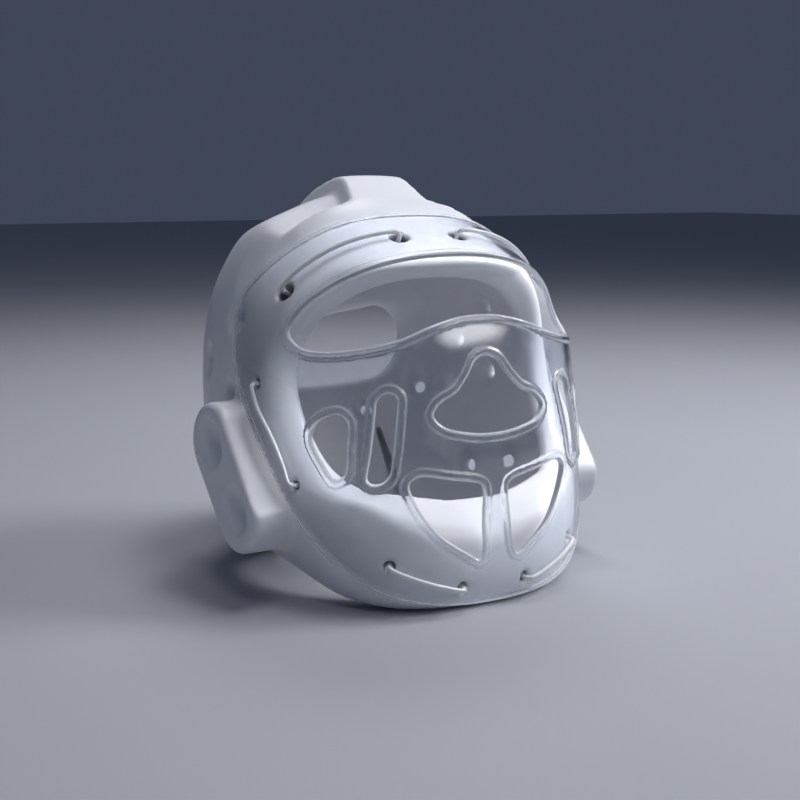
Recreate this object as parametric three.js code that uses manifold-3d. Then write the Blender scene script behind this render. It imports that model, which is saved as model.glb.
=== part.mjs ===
// Karate headgear: a one-piece dipped foam shell with a clear face mask laced to it by six short cords.
// Millimetres. Shapes are worked out in the worn frame, whose origin is midway between the ear pads:
// +X to the wearer's left, +Y to the back of the head, +Z to the crown. The worn group then tips back
// until the chin and the nape stand on the surface z = 0.
import * as THREE from "three";
import { mergeVertices } from "three/addons/utils/BufferGeometryUtils.js";
import Module from "manifold-3d";

const wasm = await Module();
wasm.setup();

// How the headgear stands
const TILT = 25; // degrees that the worn frame tips back
const EAR_HEIGHT = 66; // worn origin above the surface
const DEPTH_SHIFT = -30.2; // moves the middle of the whole depth to y = 0

// Padded shell
const HUB = { y: 22, z: 40 }; // axis along X that the profiles turn round
const SQUARENESS = 2.55; // exponent of the shell's side-to-side curve
const OUTER_HALF = 96.5; // half width of the foam outside
const INNER_HALF = 79; // half width of the head hollow
const ROUND_STEPS = 38; // facets round the hub axis
const HOLLOW_ROUND_STEPS = 32;
// Places across, from the middle out, where the facets meet: close together at the trough walls
const FOAM_RINGS = [0, 17, 23, 29, 42, 54, 64, 74, 83, 90, 94.5];
const HOLLOW_RINGS = [0, 18, 34, 48, 60, 70, 76.5];
const MASK_RINGS = [0, 25, 43, 58, 71, 81, 89, 95, 98.6];

// Clear mask
const MASK_HALF = 100; // half width of the mask outside
const MASK_WALL = 2.4;
const RIM_RISE = 1.2; // how far the bead rims stand out
const RIM_WIDTH = 4;
const BORDER_WIDTH = 6;
const MASK_SEAT = 0.6; // clearance between the mask and the foam behind it

// Middle profiles, as control radii round the hub: 0 degrees is the face, 90 the crown, 180 the back
// of the head and 270 the neck. A smooth closed curve follows each column.
const PROFILE = [
  { deg: 0, mask: 118.1, outer: 115.2, inner: 95.9 },
  { deg: 15, mask: 120.9, outer: 118, inner: 97 },
  { deg: 30, mask: 116.2, outer: 113.3, inner: 93.1 },
  { deg: 45, mask: 113.8, outer: 109, inner: 91.3 },
  { deg: 60, mask: 118.2, outer: 119, inner: 95.9 },
  { deg: 75, mask: 121.5, outer: 135.5, inner: 108.1 },
  { deg: 90, mask: 121.9, outer: 133.2, inner: 108 },
  { deg: 105, mask: 120.2, outer: 133, inner: 108.1 },
  { deg: 120, mask: 117.9, outer: 127.6, inner: 103.3 },
  { deg: 135, mask: 116.1, outer: 119.4, inner: 99.3 },
  { deg: 150, mask: 114.9, outer: 114.8, inner: 96.8 },
  { deg: 165, mask: 114.2, outer: 112.6, inner: 94.7 },
  { deg: 180, mask: 113.9, outer: 110.3, inner: 92.2 },
  { deg: 195, mask: 114.2, outer: 115.3, inner: 97.4 },
  { deg: 210, mask: 116.2, outer: 122, inner: 104.9 },
  { deg: 225, mask: 121.3, outer: 123.8, inner: 107.9 },
  { deg: 240, mask: 130.7, outer: 126.6, inner: 111.4 },
  { deg: 255, mask: 141.9, outer: 131.5, inner: 115.2 },
  { deg: 270, mask: 150.8, outer: 139, inner: 120.6 },
  { deg: 285, mask: 154.8, outer: 151.9, inner: 134.5 },
  { deg: 300, mask: 154, outer: 151.1, inner: 127.4 },
  { deg: 315, mask: 125.9, outer: 123, inner: 104.3 },
  { deg: 330, mask: 120.8, outer: 117.9, inner: 97.9 },
  { deg: 345, mask: 113.4, outer: 110.5, inner: 92.9 },
];

// Two troughs run back over the crown and leave a centre pad and two side pads.
const TROUGH = { depth: 11, frontNear: 28, topNear: 17, wall: 11, floorTo: 54, far: 72 };
const TROUGH_RUN = { start: 55, full: 62, narrow: 92, fade: 122, end: 140 }; // degrees round the hub

// The foam stays under the mask from the foot angle round the hub up to these, then rises to the crown pads.
const SEAT = { foot: -90, centre: 53, side: 66, sideFrom: 58, sideTo: 88, rise: 8 };

// Side views, as points (y, z) in the worn frame
const FACE_OPENING = [
  { y: -64, z: 84.5 },
  { y: -47, z: 73 },
  { y: -33, z: 58 },
  { y: -27, z: 40 },
  { y: -26, z: 22 },
  { y: -31, z: -6 },
  { y: -41, z: -24 },
  { y: -53, z: -35 },
  { y: -74, z: -45 },
];
const MASK_BORDER = [
  { y: -57, z: 128.5 },
  { y: -54, z: 126.5 },
  { y: -41, z: 117 },
  { y: -23, z: 107 },
  { y: -10, z: 99 },
  { y: -3, z: 85 },
  { y: 0, z: 62 },
  { y: -4, z: 40 },
  { y: -12.5, z: 7 },
  { y: -21, z: -25 },
  { y: -30, z: -53 },
  { y: -40, z: -75 },
  { y: -51, z: -91.5 },
];
const FRONT_REACH = 150; // how far the cutters run out past the face
// Underside in the standing frame: depth from the ear axis and height above the surface
const UNDERSIDE = [
  { depth: -64, height: 0 },
  { depth: -44, height: 3 },
  { depth: -18, height: 12 },
  { depth: 12, height: 17 },
  { depth: 42, height: 14 },
  { depth: 66, height: 4 },
  { depth: 80, height: 0 },
];

// Openings of the mask seen from the front, as points (x, z); the halves are mirrored across x = 0
const EYE_OPENING_HALF = [
  { x: 0, z: 91 },
  { x: 30, z: 89.5 },
  { x: 55, z: 85.5 },
  { x: 73, z: 79.5 },
  { x: 84, z: 71 },
  { x: 87.5, z: 61 },
  { x: 84, z: 49.5 },
  { x: 75, z: 43.5 },
  { x: 61, z: 40.8 },
  { x: 46, z: 41.5 },
  { x: 29, z: 46 },
  { x: 13, z: 49.3 },
  { x: 0, z: 50 },
];
const NOSE_HOLE_HALF = [
  { x: 0, z: 31 },
  { x: 7, z: 28.8 },
  { x: 13, z: 21 },
  { x: 20.5, z: 13.5 },
  { x: 30, z: 9.3 },
  { x: 35, z: 3 },
  { x: 30, z: -4.5 },
  { x: 15, z: -9.6 },
  { x: 0, z: -11 },
];
const MOUTH_HOLE = [
  { x: 6.5, z: -36 },
  { x: 9, z: -33 },
  { x: 26, z: -28.8 },
  { x: 44.5, z: -24.6 },
  { x: 49.3, z: -28 },
  { x: 46, z: -39 },
  { x: 35, z: -56 },
  { x: 21, z: -67 },
  { x: 12, z: -72 },
  { x: 8.6, z: -69 },
  { x: 7.2, z: -52 },
];
const CHEEK_HOLE = [
  { x: 86, z: 8 },
  { x: 82.3, z: 15 },
  { x: 75.6, z: 15 },
  { x: 71.6, z: 8.5 },
  { x: 72.6, z: -4 },
  { x: 74.2, z: -17.6 },
  { x: 78.2, z: -18.8 },
  { x: 82.6, z: -9 },
];
const SLOT = { top: { x: 54, z: 19 }, bottom: { x: 62.5, z: -26.3 }, width: 9.5 };

// Ear pads and their two dishes
const EAR_PAD = { y: 13, z: 4, face: 116, root: 82, length: 84, width: 50, bevel: 8, toe: 4, lean: 14 };
const DISH = { spacing: 43, radius: 13, depth: 5.5 };

// Rear crown opening seen from the back
const REAR_OPENING = { halfWidth: 63, low: 78, high: 121, corner: 20, from: 58, reach: 100 };

// Vents through each side wall: a place on the inner wall and the turn of the bore from +X towards +Y
const VENTS = [
  { x: 74, y: 1, z: 89, turn: -4 },
  { x: 75, y: 43, z: 81, turn: 12 },
  { x: 78, y: 22, z: 52, turn: 0 },
  { x: 65, y: 84, z: 63, turn: 42 },
  { x: 37.5, y: 108, z: 57, turn: 70 },
  { x: 73, y: 61, z: 1.5, turn: 22 },
  { x: 76.5, y: 21, z: -5.5, turn: 44 },
];
const VENT = { inner: 6.5, outer: 10, wall: 18, over: 14, sides: 8 };

// Clefts in the inner face of the nape, one each side
const CLEFT = { turn: 29, tipZ: 40, footZ: -40, tipWidth: 1, footWidth: 24, from: 60, depth: 105 };

// Laces: the two ends of each on the wearer's left, as a place across and an angle round the hub
const LACES = [
  { name: "brow", from: { x: 19, deg: 37 }, to: { x: 81.5, deg: 38.5 }, lift: 0 },
  { name: "cheek", from: { x: 97.6, deg: 9 }, to: { x: 91.5, deg: -48 }, lift: 0 },
  { name: "chin", from: { x: 20, deg: -58.2 }, to: { x: 58.5, deg: -55.8 }, lift: 1.2 },
];
const LACE = { radius: 1.5, sides: 6, hole: 2.4, bore: 2.2, seat: 0.4, sink: 6, points: 8, steps: 12 };

// Corners that each outline is drawn with
const CORNERS = { line: 18, underside: 14, eye: 30, nose: 20, mouth: 16, cheek: 10, arc: 4, rear: 6, pad: 6 };
const PAD_BEVEL_STEPS = 2;
const DISH_STEPS = { round: 14, high: 9 };
const MERGE = 1e-4; // vertices closer than this are one
const DEG_NUDGE = 0.5; // steps that a surface's normal is measured over
const X_NUDGE = 0.2;

const SIDES = [
  { name: "right", sign: -1 },
  { name: "left", sign: 1 },
];

const foamMaterial = new THREE.MeshStandardMaterial({ color: 0xeceef2, roughness: 0.45, metalness: 0 });
const laceMaterial = new THREE.MeshStandardMaterial({ color: 0xdfe2e6, roughness: 0.35, metalness: 0 });
const maskMaterial = new THREE.MeshStandardMaterial({
  color: 0xf4f7fa,
  roughness: 0.06,
  metalness: 0,
  transparent: true,
  opacity: 0.25,
});

// Closed geometry to solid, and solid to geometry

function solidOf(geometry) {
  const bare = geometry.clone();
  bare.deleteAttribute("normal");
  bare.deleteAttribute("uv");
  const merged = mergeVertices(bare, MERGE);
  return new wasm.Manifold(
    new wasm.Mesh({
      numProp: 3,
      vertProperties: new Float32Array(merged.attributes.position.array),
      triVerts: new Uint32Array(merged.index.array),
    }),
  );
}

function geometryOf(solid) {
  const mesh = solid.getMesh();
  const geometry = new THREE.BufferGeometry();
  geometry.setAttribute("position", new THREE.BufferAttribute(mesh.vertProperties, 3));
  geometry.setIndex(new THREE.BufferAttribute(mesh.triVerts, 1));
  geometry.computeVertexNormals();
  return geometry;
}

function joined(solids) {
  return solids.reduce((whole, solid) => whole.add(solid));
}

function smoothstep(from, to, value) {
  return THREE.MathUtils.smoothstep(value, from, to);
}

// Radius of one column of PROFILE at an angle in degrees, by a uniform cubic B-spline.
function profileRadius(column, deg) {
  const step = 360 / PROFILE.length;
  const place = THREE.MathUtils.euclideanModulo(deg, 360) / step;
  const row = Math.floor(place);
  const t = place - row;
  const before = 3 * t ** 3 - 6 * t ** 2 + 4;
  const after = -3 * t ** 3 + 3 * t ** 2 + 3 * t + 1;
  const weights = [(1 - t) ** 3, before, after, t ** 3];
  const rowAt = (k) => PROFILE[(row + k + PROFILE.length) % PROFILE.length][column];
  return weights.reduce((sum, weight, k) => sum + (weight / 6) * rowAt(k - 1), 0);
}

// Drop of the crown in the troughs at a place across and an angle round the hub.
function troughDrop(x, deg) {
  const across = Math.abs(x);
  const narrowing = smoothstep(TROUGH_RUN.start, TROUGH_RUN.narrow, deg);
  const near = THREE.MathUtils.lerp(TROUGH.frontNear, TROUGH.topNear, narrowing);
  const inner = smoothstep(near, near + TROUGH.wall, across);
  const outer = 1 - smoothstep(TROUGH.floorTo, TROUGH.far, across);
  const front = smoothstep(TROUGH_RUN.start, TROUGH_RUN.full, deg);
  const rear = 1 - smoothstep(TROUGH_RUN.fade, TROUGH_RUN.end, deg);
  return TROUGH.depth * inner * outer * front * rear;
}

// Drop of the foam where the mask lies on it.
function seatDrop(x, deg) {
  const proud = profileRadius("outer", deg) - profileRadius("mask", deg) + MASK_WALL + MASK_SEAT;
  const outward = smoothstep(SEAT.sideFrom, SEAT.sideTo, Math.abs(x));
  const clear = THREE.MathUtils.lerp(SEAT.centre, SEAT.side, outward);
  const under = 1 - smoothstep(clear, clear + SEAT.rise, deg);
  return deg < SEAT.foot ? 0 : Math.max(proud, 0) * under;
}

const foamRadius = (x, deg) => profileRadius("outer", deg) - troughDrop(x, deg) - seatDrop(x, deg);
const hollowRadius = (x, deg) => profileRadius("inner", deg);
const maskRadius = (x, deg) => profileRadius("mask", deg);

// Point of an ovoid at a place across and an angle round the hub.
function ovoidPoint(radiusAt, half, x, deg) {
  const share = (1 - Math.min(Math.abs(x) / half, 1) ** SQUARENESS) ** (1 / SQUARENESS);
  const radius = radiusAt(x, deg) * share;
  const angle = THREE.MathUtils.degToRad(deg);
  return new THREE.Vector3(x, HUB.y - radius * Math.cos(angle), HUB.z + radius * Math.sin(angle));
}

function ovoidNormal(radiusAt, half, x, deg) {
  const at = (xNudge, degNudge) => ovoidPoint(radiusAt, half, x + xNudge, deg + degNudge);
  const along = at(0, DEG_NUDGE).sub(at(0, -DEG_NUDGE));
  const across = at(X_NUDGE, 0).sub(at(-X_NUDGE, 0));
  return across.cross(along).normalize();
}

// Ovoid as a sphere with its poles on X, whose rings of vertices move out to the profile.
function ovoid(radiusAt, half, roundSteps, rings) {
  const sideSteps = 2 * rings.length;
  const geometry = new THREE.SphereGeometry(1, roundSteps, sideSteps).rotateZ(Math.PI / 2);
  const position = geometry.attributes.position;
  const place = new THREE.Vector3();
  for (let i = 0; i < position.count; i++) {
    place.fromBufferAttribute(position, i);
    const turn = Math.acos(THREE.MathUtils.clamp(place.x, -1, 1));
    const ring = Math.round((turn / Math.PI - 0.5) * sideSteps);
    const across = Math.abs(ring) < rings.length ? rings[Math.abs(ring)] : half;
    const deg = THREE.MathUtils.radToDeg(Math.atan2(place.z, -place.y));
    place.copy(ovoidPoint(radiusAt, half, -Math.sign(ring) * across, deg));
    position.setXYZ(i, place.x, place.y, place.z);
  }
  return solidOf(geometry);
}

// Prisms: a side view run across X, and a front view run along Y

function prismAcross(points, half) {
  const depth = 2 * half;
  const geometry = new THREE.ExtrudeGeometry(new THREE.Shape(points), { depth, bevelEnabled: false });
  geometry.translate(0, 0, -half);
  const turn = new THREE.Matrix4().makeBasis(
    new THREE.Vector3(0, 1, 0),
    new THREE.Vector3(0, 0, 1),
    new THREE.Vector3(1, 0, 0),
  );
  return solidOf(geometry.applyMatrix4(turn));
}

function prismAlong(points, from, depth) {
  const geometry = new THREE.ExtrudeGeometry(new THREE.Shape(points), { depth, bevelEnabled: false });
  const turn = new THREE.Matrix4().makeBasis(
    new THREE.Vector3(1, 0, 0),
    new THREE.Vector3(0, 0, 1),
    new THREE.Vector3(0, -1, 0),
  );
  return solidOf(geometry.applyMatrix4(turn.setPosition(0, from, 0)));
}

function smoothOutline(points, closed, count) {
  const curve = new THREE.CatmullRomCurve3(
    points.map((p) => new THREE.Vector3(p.x, p.y, 0)),
    closed,
    "centripetal",
  );
  const outline = curve.getSpacedPoints(count).map((p) => new THREE.Vector2(p.x, p.y));
  return closed ? outline.slice(0, -1) : outline;
}

// Outline moved out by a distance along its corner normals.
function offsetOutline(points, distance) {
  const turn = THREE.ShapeUtils.area(points) > 0 ? 1 : -1;
  return points.map((point, i) => {
    const before = points[(i + points.length - 1) % points.length];
    const after = points[(i + 1) % points.length];
    const along = after.clone().sub(before).normalize();
    return new THREE.Vector2(point.x + turn * along.y * distance, point.y - turn * along.x * distance);
  });
}

// Side view in front of a line of (y, z) points, moved forward by an inset.
function frontOf(line, inset) {
  const curve = smoothOutline(line.map((p) => new THREE.Vector2(p.y, p.z)), false, CORNERS.line);
  const moved = inset
    ? curve.map((point, i) => {
        const before = curve[Math.max(i - 1, 0)];
        const after = curve[Math.min(i + 1, curve.length - 1)];
        const along = after.clone().sub(before).normalize();
        return new THREE.Vector2(point.x + along.y * inset, point.y - along.x * inset);
      })
    : curve;
  const top = moved[0];
  const bottom = moved[moved.length - 1];
  const ahead = [
    new THREE.Vector2(-FRONT_REACH, bottom.y - inset),
    new THREE.Vector2(-FRONT_REACH, top.y + inset),
  ];
  return [...moved, ...ahead];
}

// Place in the worn frame of a depth and height of the standing frame.
function wornPlace(depth, height) {
  const tilt = THREE.MathUtils.degToRad(TILT);
  const rise = height - EAR_HEIGHT;
  return new THREE.Vector2(
    depth * Math.cos(tilt) - rise * Math.sin(tilt),
    depth * Math.sin(tilt) + rise * Math.cos(tilt),
  );
}

// Foam shell

function earPad(sign) {
  const straight = (EAR_PAD.length - EAR_PAD.width) / 2;
  const radius = EAR_PAD.width / 2 - EAR_PAD.bevel;
  const outline = new THREE.Shape();
  outline.absarc(0, straight, radius, 0, Math.PI, false);
  outline.absarc(0, -straight, radius, Math.PI, 2 * Math.PI, false);
  const geometry = new THREE.ExtrudeGeometry(outline, {
    depth: EAR_PAD.face - EAR_PAD.root - 2 * EAR_PAD.bevel,
    bevelSize: EAR_PAD.bevel,
    bevelThickness: EAR_PAD.bevel,
    bevelSegments: PAD_BEVEL_STEPS,
    curveSegments: CORNERS.pad,
  });
  geometry.translate(0, 0, -EAR_PAD.face + EAR_PAD.root + EAR_PAD.bevel);
  let pad = solidOf(geometry);
  for (const place of [-1, 1]) {
    const ballRadius = (DISH.radius ** 2 + DISH.depth ** 2) / (2 * DISH.depth);
    const ball = new THREE.SphereGeometry(ballRadius, DISH_STEPS.round, DISH_STEPS.high);
    ball.translate(0, (place * DISH.spacing) / 2, ballRadius - DISH.depth);
    pad = pad.subtract(solidOf(ball));
  }
  const turn = new THREE.Matrix4()
    .makeRotationZ(-sign * THREE.MathUtils.degToRad(EAR_PAD.toe))
    .multiply(new THREE.Matrix4().makeRotationX(-THREE.MathUtils.degToRad(EAR_PAD.lean)))
    .multiply(
      new THREE.Matrix4().makeBasis(
        new THREE.Vector3(0, sign, 0),
        new THREE.Vector3(0, 0, 1),
        new THREE.Vector3(sign, 0, 0),
      ),
    )
    .setPosition(sign * EAR_PAD.face, EAR_PAD.y, EAR_PAD.z);
  return solidOf(geometryOf(pad).applyMatrix4(turn));
}

function ventBore(vent, sign) {
  const length = VENT.wall + VENT.over;
  const bore = new THREE.CylinderGeometry(VENT.outer, VENT.inner, length, VENT.sides);
  bore.translate(0, length / 2 - VENT.over / 2, 0).rotateZ(-Math.PI / 2);
  bore.rotateZ(THREE.MathUtils.degToRad(vent.turn)).translate(vent.x, vent.y, vent.z);
  return sign > 0 ? solidOf(bore) : solidOf(bore).mirror([1, 0, 0]);
}

function napeCleft(sign) {
  const { tipZ, footZ, tipWidth, footWidth } = CLEFT;
  const wedge = [
    new THREE.Vector2(-tipWidth / 2, tipZ),
    new THREE.Vector2(-footWidth / 2, footZ),
    new THREE.Vector2(footWidth / 2, footZ),
    new THREE.Vector2(tipWidth / 2, tipZ),
  ];
  const cut = prismAlong(wedge, CLEFT.depth, CLEFT.depth - CLEFT.from);
  const geometry = geometryOf(cut).rotateZ(-sign * THREE.MathUtils.degToRad(CLEFT.turn));
  return solidOf(geometry.translate(0, HUB.y, 0));
}

function rearOpening() {
  const { halfWidth, low, high, corner } = REAR_OPENING;
  const outline = new THREE.Shape();
  outline.absarc(halfWidth - corner, low + corner, corner, -Math.PI / 2, 0, false);
  outline.absarc(halfWidth - corner, high - corner, corner, 0, Math.PI / 2, false);
  outline.absarc(corner - halfWidth, high - corner, corner, Math.PI / 2, Math.PI, false);
  outline.absarc(corner - halfWidth, low + corner, corner, Math.PI, 1.5 * Math.PI, false);
  const behind = REAR_OPENING.from + REAR_OPENING.reach;
  return prismAlong(outline.getPoints(CORNERS.rear), behind, REAR_OPENING.reach);
}

function undersideCut() {
  const line = UNDERSIDE.map((p) => new THREE.Vector2(p.depth, p.height));
  const curve = smoothOutline(line, false, CORNERS.underside);
  const first = curve[0];
  const last = curve[curve.length - 1];
  const outline = [
    new THREE.Vector2(-FRONT_REACH, 0),
    first.setY(0),
    ...curve.slice(1, -1).map((p) => p.setY(Math.max(p.y, 0))),
    last.setY(0),
    new THREE.Vector2(2 * FRONT_REACH, 0),
    new THREE.Vector2(2 * FRONT_REACH, -FRONT_REACH),
    new THREE.Vector2(-FRONT_REACH, -FRONT_REACH),
  ];
  return prismAcross(outline.map((p) => wornPlace(p.x, p.y)), FRONT_REACH);
}

function foamShell() {
  let foam = ovoid(foamRadius, OUTER_HALF, ROUND_STEPS, FOAM_RINGS);
  foam = joined([foam, ...SIDES.map((side) => earPad(side.sign))]);
  const cuts = [
    ovoid(hollowRadius, INNER_HALF, HOLLOW_ROUND_STEPS, HOLLOW_RINGS),
    prismAcross(frontOf(FACE_OPENING, 0), FRONT_REACH),
    rearOpening(),
    undersideCut(),
    ...SIDES.flatMap((side) => [
      napeCleft(side.sign),
      ...VENTS.map((vent) => ventBore(vent, side.sign)),
      ...laceBores(side.sign, LACE.bore),
    ]),
  ];
  return geometryOf(foam.subtract(joined(cuts)));
}

// Face mask

function maskWall(rise) {
  const outside = (x, deg) => maskRadius(x, deg) + rise;
  const inside = (x, deg) => maskRadius(x, deg) - MASK_WALL;
  const innerRings = MASK_RINGS.map((x) => (x * (MASK_HALF - MASK_WALL)) / MASK_HALF);
  const outer = ovoid(outside, MASK_HALF + rise, ROUND_STEPS, MASK_RINGS);
  return outer.subtract(ovoid(inside, MASK_HALF - MASK_WALL, ROUND_STEPS, innerRings));
}

function mirroredHalf(half) {
  const inner = half.slice(1, -1).reverse();
  return [...half, ...inner.map((p) => ({ x: -p.x, z: p.z }))];
}

function slotOutline() {
  const top = new THREE.Vector2(SLOT.top.x, SLOT.top.z);
  const bottom = new THREE.Vector2(SLOT.bottom.x, SLOT.bottom.z);
  const radius = SLOT.width / 2;
  const along = top.clone().sub(bottom).normalize();
  const lean = along.angle();
  const shape = new THREE.Shape();
  const high = top.addScaledVector(along, -radius);
  const low = bottom.addScaledVector(along, radius);
  shape.absarc(high.x, high.y, radius, lean - Math.PI / 2, lean + Math.PI / 2, false);
  shape.absarc(low.x, low.y, radius, lean + Math.PI / 2, lean + 1.5 * Math.PI, false);
  return shape.getPoints(CORNERS.arc);
}

function maskOutlines() {
  const flat = (points) => points.map((p) => new THREE.Vector2(p.x, p.z));
  const smooth = (points, count) => smoothOutline(flat(points), true, count);
  const mirror = (outline) => outline.map((p) => new THREE.Vector2(-p.x, p.y)).reverse();
  const eye = smooth(mirroredHalf(EYE_OPENING_HALF), CORNERS.eye);
  const nose = smooth(mirroredHalf(NOSE_HOLE_HALF), CORNERS.nose);
  const paired = [smooth(MOUTH_HOLE, CORNERS.mouth), smooth(CHEEK_HOLE, CORNERS.cheek), slotOutline()];
  return [eye, nose, ...paired, ...paired.map(mirror)];
}

function faceMask() {
  const front = HUB.y;
  const holes = maskOutlines();
  const border = frontOf(MASK_BORDER, 0);
  const inside = frontOf(MASK_BORDER, BORDER_WIDTH);
  const rims = joined(holes.map((hole) => prismAlong(offsetOutline(hole, RIM_WIDTH), front, FRONT_REACH)));
  const frame = prismAcross(border, FRONT_REACH).subtract(prismAcross(inside, FRONT_REACH));
  const sheet = maskWall(0).intersect(prismAcross(border, FRONT_REACH));
  const raised = maskWall(RIM_RISE).intersect(rims.add(frame)).intersect(prismAcross(border, FRONT_REACH));
  const cuts = [
    ...holes.map((hole) => prismAlong(hole, front, FRONT_REACH)),
    ...SIDES.flatMap((side) => laceBores(side.sign, LACE.hole)),
  ];
  return geometryOf(sheet.add(raised).subtract(joined(cuts)));
}

// Laces

function laceEnds(lace, sign) {
  return [lace.from, lace.to].map((end) => ({
    place: ovoidPoint(maskRadius, MASK_HALF, sign * end.x, end.deg),
    out: ovoidNormal(maskRadius, MASK_HALF, sign * end.x, end.deg),
  }));
}

function laceBore(end, radius) {
  const length = 2 * (LACE.sink + LACE.seat);
  const bore = new THREE.CylinderGeometry(radius, radius, length, LACE.sides);
  const turn = new THREE.Quaternion().setFromUnitVectors(new THREE.Vector3(0, 1, 0), end.out);
  return solidOf(bore.applyQuaternion(turn).translate(end.place.x, end.place.y, end.place.z));
}

function laceBores(sign, radius) {
  return LACES.flatMap((lace) => laceEnds(lace, sign).map((end) => laceBore(end, radius)));
}

function laceCord(lace, sign) {
  const ends = laceEnds(lace, sign);
  const above = LACE.radius + LACE.seat;
  const points = [];
  for (let i = 0; i <= LACE.points; i++) {
    const share = i / LACE.points;
    const x = sign * THREE.MathUtils.lerp(lace.from.x, lace.to.x, share);
    const deg = THREE.MathUtils.lerp(lace.from.deg, lace.to.deg, share);
    const lift = above + lace.lift * Math.sin(Math.PI * share);
    const out = ovoidNormal(maskRadius, MASK_HALF, x, deg);
    points.push(ovoidPoint(maskRadius, MASK_HALF, x, deg).addScaledVector(out, lift));
  }
  const sunk = ends.map((end) => end.place.clone().addScaledVector(end.out, -LACE.sink + LACE.seat));
  const path = new THREE.CatmullRomCurve3([sunk[0], ...points, sunk[1]], false, "centripetal");
  const section = new THREE.Shape();
  section.absarc(0, 0, LACE.radius, 0, 2 * Math.PI, false);
  const outline = new THREE.Shape(section.getPoints(LACE.sides).slice(0, LACE.sides));
  const geometry = new THREE.ExtrudeGeometry(outline, { steps: LACE.steps, extrudePath: path });
  return geometryOf(solidOf(geometry));
}

// The whole headgear

function piece(name, geometry, material) {
  const mesh = new THREE.Mesh(geometry, material.clone());
  mesh.name = name;
  return mesh;
}

const worn = new THREE.Group();
worn.add(piece("foam_shell", foamShell(), foamMaterial));
worn.add(piece("face_mask", faceMask(), maskMaterial));
for (const lace of LACES) {
  for (const side of SIDES) {
    worn.add(piece(`lace_${lace.name}_${side.name}`, laceCord(lace, side.sign), laceMaterial));
  }
}
worn.rotation.x = -THREE.MathUtils.degToRad(TILT);
worn.position.set(0, DEPTH_SHIFT, EAR_HEIGHT);

const headgear = new THREE.Group();
headgear.add(worn);

export default headgear;
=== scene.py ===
import math
import time

import bpy
import numpy as np
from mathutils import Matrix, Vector


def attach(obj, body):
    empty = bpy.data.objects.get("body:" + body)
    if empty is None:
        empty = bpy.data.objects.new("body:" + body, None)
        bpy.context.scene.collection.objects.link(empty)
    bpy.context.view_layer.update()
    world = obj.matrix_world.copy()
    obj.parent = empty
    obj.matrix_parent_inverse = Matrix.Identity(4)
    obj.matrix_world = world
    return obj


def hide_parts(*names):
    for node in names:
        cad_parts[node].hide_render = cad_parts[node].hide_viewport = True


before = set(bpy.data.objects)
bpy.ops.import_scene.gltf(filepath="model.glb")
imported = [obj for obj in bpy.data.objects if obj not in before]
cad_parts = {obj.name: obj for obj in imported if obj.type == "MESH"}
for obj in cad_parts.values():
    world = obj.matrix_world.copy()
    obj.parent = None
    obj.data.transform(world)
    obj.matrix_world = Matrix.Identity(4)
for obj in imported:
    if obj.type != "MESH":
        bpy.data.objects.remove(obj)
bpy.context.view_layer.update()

startTime = time.time()


def report(stage):
    print("headgear:", stage, "at %.1f s" % (time.time() - startTime))


# Shapes are worked out in the worn frame, in mm: x to the wearer's left, y to the back of the head, z to the crown.
stand = {"tilt": 25, "earHeight": 66, "depthShift": -30.2}  # how the worn frame stands on the floor


def standing(p):
    # worn place to the row frame: turn about x by the tilt, lift, shift, mm to metres
    a = math.radians(stand["tilt"])
    y = p[..., 1] * math.cos(a) + p[..., 2] * math.sin(a) + stand["depthShift"]
    z = p[..., 2] * math.cos(a) - p[..., 1] * math.sin(a) + stand["earHeight"]
    return np.stack([p[..., 0], y, z], -1) / 1000


# Small tools for shapes

def step(low, high, v):
    # smooth rise from 0 at low to 1 at high, three t squared less two t cubed
    t = np.clip((v - low) / (high - low), 0, 1)
    return t * t * (3 - 2 * t)


def softMin(a, b, k):
    # the smaller of two fields, with a fillet about k mm wide where they meet
    h = np.clip(0.5 + 0.5 * (b - a) / k, 0, 1)
    return b + (a - b) * h - k * h * (1 - h)


def softMax(a, b, k):
    # the larger of two fields, with the same fillet
    return -softMin(-a, -b, k)


def smoothLine(points, closed=False, perSpan=10):
    # centripetal Catmull-Rom curve through the points, by repeated linear blends between its knots
    p = np.asarray(points, float)
    p = np.vstack([p[-1:], p, p[:2]]) if closed else np.vstack([2 * p[0] - p[1], p, 2 * p[-1] - p[-2]])
    a, b, c, d = (q[:, None, :] for q in (p[:-3], p[1:-2], p[2:-1], p[3:]))
    gap = lambda u, v: np.sqrt(np.linalg.norm(v - u, axis=2))[:, :, None]
    t0 = np.zeros_like(gap(a, b))
    t1 = gap(a, b)
    t2 = t1 + gap(b, c)
    t3 = t2 + gap(c, d)
    t = t1 + (t2 - t1) * np.linspace(0, 1, perSpan, endpoint=False)[None, :, None]
    mix = lambda u, v, tu, tv: ((tv - t) * u + (t - tu) * v) / (tv - tu)
    ab, bc, cd = mix(a, b, t0, t1), mix(b, c, t1, t2), mix(c, d, t2, t3)
    line = mix(mix(ab, bc, t0, t2), mix(bc, cd, t1, t3), t1, t2).reshape(-1, p.shape[1])
    return line if closed else np.vstack([line, points[-1:]])


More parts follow.
